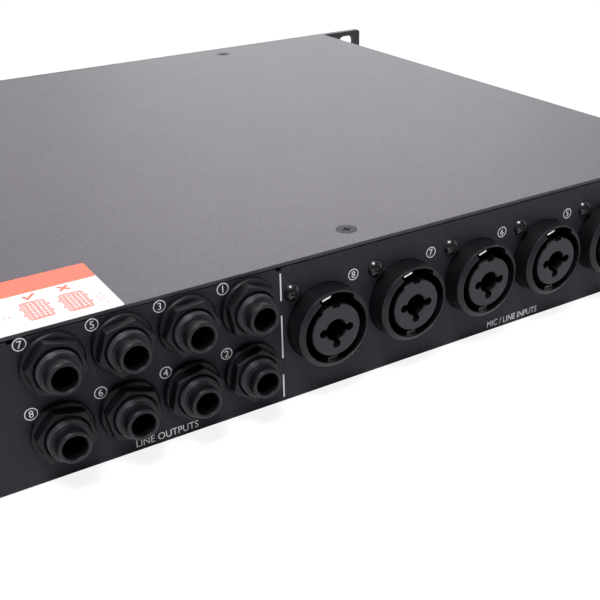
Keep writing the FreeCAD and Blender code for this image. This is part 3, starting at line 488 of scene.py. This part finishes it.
def closed_strip(inner, outer, thick):
    """A flat closed band between two matching loops of page points, with a low rim at both edges.

    The four loops outer-foot, outer-top, inner-top, inner-foot go round the band's section in turn.
    """
    count = len(outer)
    foot = np.zeros((count, 1))
    top = np.full((count, 1), thick)
    loops = [np.hstack(pair) for pair in ((outer, foot), (outer, top), (inner, top), (inner, foot))]
    return np.concatenate(loops), grid_faces(4, count, close_rows=True, close_columns=True)


def circle(radius, count=48):
    """Points (radius cos a, radius sin a) for equal steps of the angle a."""
    angle = np.arange(count) * 2 * np.pi / count
    return np.stack([radius * np.cos(angle), radius * np.sin(angle)], axis=1)


def bar(x, y, thick):
    """A thin block on a page between two limits each way: its eight corners and six faces."""
    corners = [(a, b, c) for c in (0, thick) for b in y for a in x]
    faces = [(0, 2, 3, 1), (4, 5, 7, 6), (0, 1, 5, 4), (1, 3, 7, 5), (3, 2, 6, 7), (2, 0, 4, 6)]
    return np.array(corners, float), np.array(faces)


def joined(parts):
    """Several (vertices, faces) as one."""
    vertices = []
    faces = []
    start = 0
    for points, quads in parts:
        vertices.append(points)
        faces += [[int(i) + start for i in face] for face in quads]
        start += len(points)
    return np.concatenate(vertices), faces


# %% [markdown]
# The prints are screen-printed white ink: a number in a ring beside each socket, a divider between outputs
# and inputs, and a few plain words for what a socket or a control does. Rings and bars are a few hundredths
# of a millimetre thick, as ink is. Letters start as text curves in the built-in typeface and become flat
# meshes at the height of the ink's face.

# %% Prints
INK = 0.03 * MM
LIFT = 0.01 * MM


def lettering(words, height, width=None):
    """Flat page mesh of some words, centred, with a capital's height and, if given, the whole width."""
    curve = bpy.data.curves.new("letters", "FONT")
    curve.body = words
    curve.size = 1.0
    curve.extrude = 0.0
    curve.resolution_u = 4
    curve.align_x = "CENTER"
    text = bpy.data.objects.new("letters", curve)
    bpy.context.scene.collection.objects.link(text)
    graph = bpy.context.evaluated_depsgraph_get()
    graph.update()
    mesh = bpy.data.meshes.new_from_object(text.evaluated_get(graph))
    points = np.zeros(len(mesh.vertices) * 3)
    mesh.vertices.foreach_get("co", points)
    points = points.reshape(-1, 3)
    faces = [tuple(face.vertices) for face in mesh.polygons]
    bpy.data.objects.remove(text)
    bpy.data.curves.remove(curve)
    bpy.data.meshes.remove(mesh)
    size = height / (points[:, 1].max() - points[:, 1].min())
    points[:, 0] -= (points[:, 0].max() + points[:, 0].min()) / 2
    points[:, 1] -= (points[:, 1].max() + points[:, 1].min()) / 2
    points *= size
    if width:
        points[:, 0] *= width / (2 * points[:, 0].max())
    points[:, 2] = INK
    return points, faces


def ring(radius, line):
    return closed_strip(circle(radius - line), circle(radius), INK)


def shifted(part, right, up):
    points, faces = part
    return points + np.array([right, up, 0.0]), faces


def print_on(name, page, parts, plane):
    """One printed piece: page parts drawn in ink on a plane of the case."""
    points, faces = joined(parts)
    origin = np.array(PAGES[page][2], float) * (plane + LIFT)
    return new_piece(name, onto(page, points, origin), faces, white_ink)


def page_place(page, place):
    """Where a point of the case falls on a page, as (right, up)."""
    axes = np.array(PAGES[page], float)
    return float(np.dot(place, axes[0])), float(np.dot(place, axes[1]))


BADGE = 1.75 * MM
BADGE_LINE = 0.25 * MM
BADGE_NUMBER = 2.0 * MM
JACK_BADGE = (-6.93 * MM, 6.83 * MM)
COMBO_BADGE = (10.3 * MM, 11.9 * MM)
LEGEND = 2.2 * MM
LEGEND_Z = 2.2 * MM
DIVIDER_X = -43.3 * MM
# The two gaps between the divider's runs are painted shadow: they stand where the corners of the nearby jack
# nuts and their shadows cross the line.
DIVIDER_RUNS = ((1.3 * MM, 8.8 * MM), (14.2 * MM, 27.7 * MM), (32.3 * MM, 40.6 * MM))
DIVIDER_WIDTH = 0.45 * MM
OUTPUTS_LEGEND = (36.7 * MM, 18.4 * MM)
INPUTS_LEGEND = (87.6 * MM, 21.6 * MM)


def badge(number, place, offset):
    """A number in a ring, beside a socket."""
    right, up = page_place("rear", place)
    right += offset[0]
    up += offset[1]
    return [shifted(ring(BADGE, BADGE_LINE), right, up),
            shifted(lettering(str(number), BADGE_NUMBER), right, up)]


def make_rear_prints():
    numbers = []
    for n in range(1, 9):
        numbers += badge(n, jack_centres[n], JACK_BADGE)
    for n in range(3, 9):
        numbers += badge(n, combo_centres[n], COMBO_BADGE)
    print_on("rear_numbers", "rear", numbers, REAR)
    sides = (-DIVIDER_X - DIVIDER_WIDTH / 2, -DIVIDER_X + DIVIDER_WIDTH / 2)
    # The divider is printed in runs that leave gaps of painted shadow beside the nuts.
    print_on("rear_divider", "rear", [bar(sides, run, INK) for run in DIVIDER_RUNS], REAR)
    words = []
    low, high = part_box("optical_sockets")
    words.append(("OPTICAL OUT", -(low[0] + high[0]) / 2, low[2] - LEGEND))
    low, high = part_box("word_clock_socket")
    words.append(("WORD CLOCK", -(low[0] + high[0]) / 2, low[2] - 2 * LEGEND))
    low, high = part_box("mains_inlet")
    words.append(("POWER", -(low[0] + high[0]) / 2, low[2] - LEGEND))
    parts = [shifted(lettering(w, LEGEND), r, u) for w, r, u in words]
    for word, (right, width) in (("LINE OUTPUTS", (-OUTPUTS_LEGEND[0], OUTPUTS_LEGEND[1])),
                                 ("MIC / LINE INPUTS", INPUTS_LEGEND)):
        parts.append(shifted(lettering(word, LEGEND, width), right - DIVIDER_X, LEGEND_Z))
    print_on("rear_legends", "rear", parts, REAR)


make_rear_prints()

TICK_LENGTH = 1.4 * MM
TICK_WIDTH = 0.35 * MM
GAUGE_RADIUS = 9.2 * MM
GAUGE_TICKS = 11
GAUGE_SWEEP = math.radians(150)
SMALL_LEGEND = 1.7 * MM
KNOB_LEGEND_DROP = 13.5 * MM
BUTTON_LEGEND_DROP = 5.4 * MM
INPUT_LEGEND_DROP = 18.2 * MM
ROCKER_LEGEND_DROP = 16.5 * MM


def gauge(place, radius, ticks, start, end):
    """Short ticks on an arc round a knob, from one end of its turn to the other."""
    right, up = page_place("front", place)
    marks = []
    for angle in np.linspace(start, end, ticks):
        points, faces = bar((radius, radius + TICK_LENGTH), (-TICK_WIDTH / 2, TICK_WIDTH / 2), INK)
        turn = np.array([[math.cos(angle), math.sin(angle), 0], [-math.sin(angle), math.cos(angle), 0],
                         [0, 0, 1]])
        marks.append((points @ turn + np.array([right, up, 0]), faces))
    return marks


def make_front_prints():
    parts = []
    for n in range(1, 9):
        parts += gauge(knob_centres[n], GAUGE_RADIUS, GAUGE_TICKS, math.pi / 2 + GAUGE_SWEEP,
                       math.pi / 2 - GAUGE_SWEEP)
        right, up = page_place("front", knob_centres[n])
        parts.append(shifted(lettering("GAIN %d" % n, SMALL_LEGEND), right, up - KNOB_LEGEND_DROP))
    words = {"instrument_button_1": "INST 1", "instrument_button_2": "INST 2", "pad_button_1": "PAD 1",
             "pad_button_2": "PAD 2", "phantom_button_low": "PHANTOM 1-4",
             "phantom_button_high": "PHANTOM 5-8", "sample_rate_button": "RATE",
             "clock_source_button": "CLOCK"}
    for name, word in words.items():
        right, up = page_place("front", centre(name))
        parts.append(shifted(lettering(word, SMALL_LEGEND), right, up - BUTTON_LEGEND_DROP))
    for n in (1, 2):
        right, up = page_place("front", combo_centres[n])
        parts.append(shifted(lettering("INPUT %d" % n, SMALL_LEGEND), right, up - INPUT_LEGEND_DROP))
    right, up = page_place("front", centre("power_rocker"))
    parts.append(shifted(lettering("POWER", SMALL_LEGEND), right, up - ROCKER_LEGEND_DROP))
    print_on("front_legends", "front", parts, -FRONT)


make_front_prints()

# %% [markdown]
# The real bush of a jack socket carries a screw thread, a helix and not a stack of rings. The thread is a
# sleeve over the bush: a surface of the angle round the axis and of the distance along it, whose radius falls
# and rises once per pitch, and whose phase follows the angle, so that the ridge climbs one pitch per turn.

# %% Threads of the jack bushes
THREAD_PITCH = 0.92 * MM
THREAD_DEPTH = 0.44 * MM
THREAD_RADIUS = 5.62 * MM
THREAD_FROM = 4.9 * MM
THREAD_TO = 7.25 * MM
THREAD_LEAD = 0.35 * THREAD_PITCH
# Painted shade in the thread's grooves and a painted highlight on its ridges, mixed by the ridge attribute.
GROOVE_PAINTED_SHADE = (0.0015, 0.0013, 0.002)
RIDGE_PAINTED_HIGHLIGHT = (0.062, 0.056, 0.072)


def thread_sleeve(around=96, along=56):
    """Radius = crest - depth x fold(distance / pitch - angle / turn)^2, fold going 0, 1, 0 once per pitch.

    The sleeve's ends are closed down to a smaller radius, inside the bush.
    """
    angle = np.arange(around) * 2 * np.pi / around
    out = np.linspace(THREAD_FROM, THREAD_TO, along)
    phase = out[:, None] / THREAD_PITCH - angle[None, :] / (2 * np.pi)
    fold = (1 - np.abs(2 * (phase - np.floor(phase)) - 1)) ** 2
    edge = np.minimum(1.0, np.minimum(out - THREAD_FROM, THREAD_TO - out) / THREAD_LEAD)
    radius = THREAD_RADIUS - THREAD_DEPTH * np.maximum(fold, (1 - edge)[:, None])
    inner = np.full((1, around), THREAD_RADIUS - 2 * THREAD_DEPTH)
    radius = np.concatenate([inner, radius, inner])
    out = np.concatenate([out[:1], out, out[-1:]])
    points = np.stack([radius * np.cos(angle), radius * np.sin(angle),
                       np.broadcast_to(out[:, None], radius.shape)], axis=-1)
    return points.reshape(-1, 3), grid_faces(along + 2, around, close_rows=True, close_columns=True)


def thread_finish():
    """The moulded nylon with painted shade in the grooves and a painted highlight on the ridges: its colour
    follows the "ridge" attribute.
    """
    finished = finish("thread nylon", (0.02, 0.018, 0.025), (0.07, 0.068, 0.075), 0.38, 2600.0, 0.2,
                      0.1, 0.00004, 0.00002, 0.2, specular=0.4)
    ridge = node(finished.node_tree, "ShaderNodeAttribute", attribute_name="ridge").outputs["Fac"]
    color_by(finished, ridge, GROOVE_PAINTED_SHADE, RIDGE_PAINTED_HIGHLIGHT)
    return finished


def make_threads():
    sleeve, faces = thread_sleeve()
    parts = [shifted((sleeve, faces), *page_place("rear", jack_centres[n])) for n in range(1, 9)]
    points, faces = joined(parts)
    piece = new_piece("jack_threads", onto("rear", points, (0, REAR, 0)), faces, thread_finish(),
                      smooth=True)
    # The ridge attribute, 1 on the crests and 0 deep in the grooves, places the painted shade and highlight
    # of the thread.
    depth = (THREAD_RADIUS - np.linalg.norm(sleeve[:, :2], axis=1)) / THREAD_DEPTH
    ridge = piece.data.attributes.new("ridge", "FLOAT", "POINT")
    ridge.data.foreach_set("value", np.tile(np.clip(1 - 2 * depth, 0, 1), len(parts)).astype(np.float32))


make_threads()

# %% [markdown]
# The sticker on the cover is paper with a printed band and small line drawings of stacked equipment, each
# pair under a tick and a cross. The paper is a thin slab with rounded corners. The ink is made of pieces that
# never overlap, because two faces in the same plane would fight for the same place. It says nothing in words.

# %% Sticker
STICKER_EDGE = -1.3 * MM
STICKER_WIDTH = 92.0 * MM
STICKER_DEPTH = 30.2 * MM
BAND_DEPTH = 9.8 * MM
PAPER = 0.12 * MM
STROKE = 0.28 * MM
CELL = 1.12 * MM
SHEET_ROUND = 0.6 * MM
SHEET_SETBACK = 0.1 * MM
BAND_INSET = 0.02 * MM
LEAST_ROUND = 0.05 * MM
DRAWING = (6.4 * MM, 10.6 * MM)
FRAME_ROUNDS = (0.8 * MM, 0.5 * MM)
FRAME_GAP = 0.45 * MM
CELLS_FROM = (0.95 * MM, 0.85 * MM)
CELLS_MARGIN = 1.6 * MM
CELL_COLUMNS = 4
COLUMN_STEP = 1.04
OPEN_CELL = 0.8
FILLED_CELL = (0.78, 0.62)
CELL_ROUND = 0.2 * MM
CELL_LINE = 0.3 * MM
FOOT = (0.35 * MM, 1.4 * MM)
FOOT_GAP = 0.2 * MM
FOOT_LEVELS = (0.25, 0.62)
SIGN_STROKE = 0.8 * MM
TICK_POINTS = ((0.0, 2.1 * MM), (0.8 * MM, 0.3 * MM), (3.1 * MM, 2.9 * MM))
CROSS_REACH = 1.35 * MM
DASH_STEP = 0.75 * MM
DASH_WIDTH = 0.22 * MM
PAIR_STEPS = (0, 35.0 * MM, 68.0 * MM)
TICKED = (-23.9 * MM, 4.3 * MM)
CROSSED = (-14.1 * MM, 3.6 * MM)
TICK_PLACE = (-21.7 * MM, 16.3 * MM)
CROSS_PLACE = (-11.1 * MM, 17.8 * MM)
FINE_PRINT = ((-4.6 * MM, 3.0 * MM, 11), (-5.8 * MM, 5.0 * MM, 6),
              (-29.6 * MM, 8.4 * MM, 2), (-28.2 * MM, 8.2 * MM, 2))


def mitred(points, width):
    """Page outline of a polyline with the given width: each side is the line moved along its mitres."""
    points = np.asarray(points, float)
    runs = np.diff(points, axis=0)
    runs /= np.linalg.norm(runs, axis=1)[:, None]
    normals = np.stack([-runs[:, 1], runs[:, 0]], axis=1)
    before = np.vstack([normals[:1], normals])
    after = np.vstack([normals, normals[-1:]])
    mitre = (before + after) / (1 + np.sum(before * after, axis=1))[:, None]
    return np.vstack([points - mitre * width / 2, (points + mitre * width / 2)[::-1]])


def corner_loop(left, right, low, high, radius, count=6):
    """Page points round a rectangle with rounded corners, anticlockwise from its lower right corner."""
    turn = np.linspace(0, np.pi / 2, count)
    loop = []
    for step, (x, y) in enumerate(((right, low), (right, high), (left, high), (left, low))):
        across = x - math.copysign(radius, x - (left + right) / 2)
        along = y - math.copysign(radius, y - (low + high) / 2)
        angle = turn + (step - 1) * np.pi / 2
        loop.append(np.stack([across + radius * np.cos(angle), along + radius * np.sin(angle)], axis=1))
    return np.concatenate(loop)


def plate(loop, thick):
    """A thin plate on a page with the loop as its outline: two faces and a rim."""
    count = len(loop)
    foot = np.hstack([loop, np.zeros((count, 1))])
    top = np.hstack([loop, np.full((count, 1), thick)])
    faces = [list(range(count, 2 * count)), list(range(count - 1, -1, -1))]
    faces += grid_faces(2, count, close_columns=True).tolist()
    return np.concatenate([foot, top]), faces


def outline(left, right, low, high, radius, line=STROKE):
    """A thin closed frame on a page."""
    inner = corner_loop(left + line, right - line, low + line, high - line, max(radius - line, LEAST_ROUND))
    return closed_strip(inner, corner_loop(left, right, low, high, radius), INK)


def drawing(left, low):
    """A line drawing of a stack of equipment: a double frame, columns of cells, and feet on both sides.

    The first and third columns are open squares, the second and fourth are filled ones.
    """
    right = left + DRAWING[0]
    high = low + DRAWING[1]
    parts = [outline(left, right, low, high, FRAME_ROUNDS[0]),
             outline(left + FRAME_GAP, right - FRAME_GAP, low + FRAME_GAP, high - FRAME_GAP, FRAME_ROUNDS[1])]
    rows = int((DRAWING[1] - CELLS_MARGIN) / CELL)
    for column in range(CELL_COLUMNS):
        for row in range(rows):
            x = left + CELLS_FROM[0] + column * CELL * COLUMN_STEP
            y = low + CELLS_FROM[1] + row * CELL
            if column % 2:
                parts.append(bar((x, x + FILLED_CELL[0] * CELL), (y, y + FILLED_CELL[1] * CELL), INK))
            else:
                parts.append(outline(x, x + OPEN_CELL * CELL, y, y + OPEN_CELL * CELL, CELL_ROUND, CELL_LINE))
    for foot in (left - FOOT_GAP - FOOT[0], right + FOOT_GAP):
        for level in FOOT_LEVELS:
            up = low + DRAWING[1] * level
            parts.append(bar((foot, foot + FOOT[0]), (up, up + FOOT[1]), INK))
    return parts


def tick(right, up):
    return [plate(mitred([(right + x, up + y) for x, y in TICK_POINTS], SIGN_STROKE), INK)]


def cross(right, up):
    """One long stroke, and two short ones that stop at its sides."""
    ends = [(right - CROSS_REACH, up - CROSS_REACH), (right + CROSS_REACH, up + CROSS_REACH)]
    parts = [plate(mitred(ends, SIGN_STROKE), INK)]
    for side in (-1, 1):
        start = side * SIGN_STROKE / 2 / math.sqrt(2)
        end = side * CROSS_REACH
        parts.append(plate(mitred([(right + start, up - start), (right + end, up - end)], SIGN_STROKE), INK))
    return parts


def fine_lines(right, low, count):
    """A column of small dashes, as fine print looks from afar: length = 0.55 + 0.35 sin(2.4 number) mm."""
    parts = []
    for number in range(count):
        length = (0.55 + 0.35 * math.sin(2.4 * number)) * MM
        up = low + number * DASH_STEP
        parts.append(bar((right, right + length), (up, up + DASH_WIDTH), INK))
    return parts


def sticker_marks(near, far, left, right):
    """The band along the far edge, then the drawings, signs and fine print, pair by pair.

    Only the ticked half of the last pair fits on the sheet.
    """
    band = corner_loop(left + BAND_INSET, right - BAND_INSET, far - BAND_DEPTH, far - BAND_INSET, SHEET_ROUND)
    marks = [plate(band, INK)]
    for step in PAIR_STEPS:
        marks += drawing(TICKED[0] - step, near + TICKED[1])
        marks += tick(TICK_PLACE[0] - step, near + TICK_PLACE[1])
        if step < PAIR_STEPS[-1]:
            marks += drawing(CROSSED[0] - step, near + CROSSED[1])
            marks += cross(CROSS_PLACE[0] - step, near + CROSS_PLACE[1])
            for x, y, count in FINE_PRINT:
                marks += fine_lines(x - step, near + y, count)
    return marks


def make_sticker():
    """The sheet and its print, on the cover beside the rear edge."""
    near = -REAR + SHEET_SETBACK
    far = near + STICKER_DEPTH
    right = STICKER_EDGE
    left = right - STICKER_WIDTH
    sheet, faces = plate(corner_loop(left, right, near, far, SHEET_ROUND), PAPER)
    origin = np.array([0, 0, TOP + LIFT])
    new_piece("sticker_paper", onto("top", sheet, origin), faces, paper)
    points, faces = joined(sticker_marks(near, far, left, right))
    origin = origin + np.array([0, 0, PAPER])
    new_piece("sticker_print", onto("top", points, origin), faces, coral_ink)


make_sticker()

# %% [markdown]
# A gain knob is read by its pointer, a white bar on its face. Each bar is its own piece, because it has to
# ride on its own knob when that knob turns.

# %% Knob pointers
POINTER_WIDTH = 0.9 * MM
POINTER_FACE = (1.5 * MM, 6.1 * MM)
POINTER_THICK = 0.06 * MM


def make_pointer(number):
    """A bar from near the middle of the knob's face to its rim, straight up at rest."""
    knob = "gain_knob_%d" % number
    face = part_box(knob)[0][1] + LIFT
    right, up = page_place("front", knob_centres[number])
    block = bar((-POINTER_WIDTH / 2, POINTER_WIDTH / 2), POINTER_FACE, POINTER_THICK)
    points, faces = shifted(block, right, up)
    new_piece("gain_pointer_%d" % number, onto("front", points, (0, face, 0)), faces, white_ink,
              body=knob)


for number in range(1, 9):
    make_pointer(number)
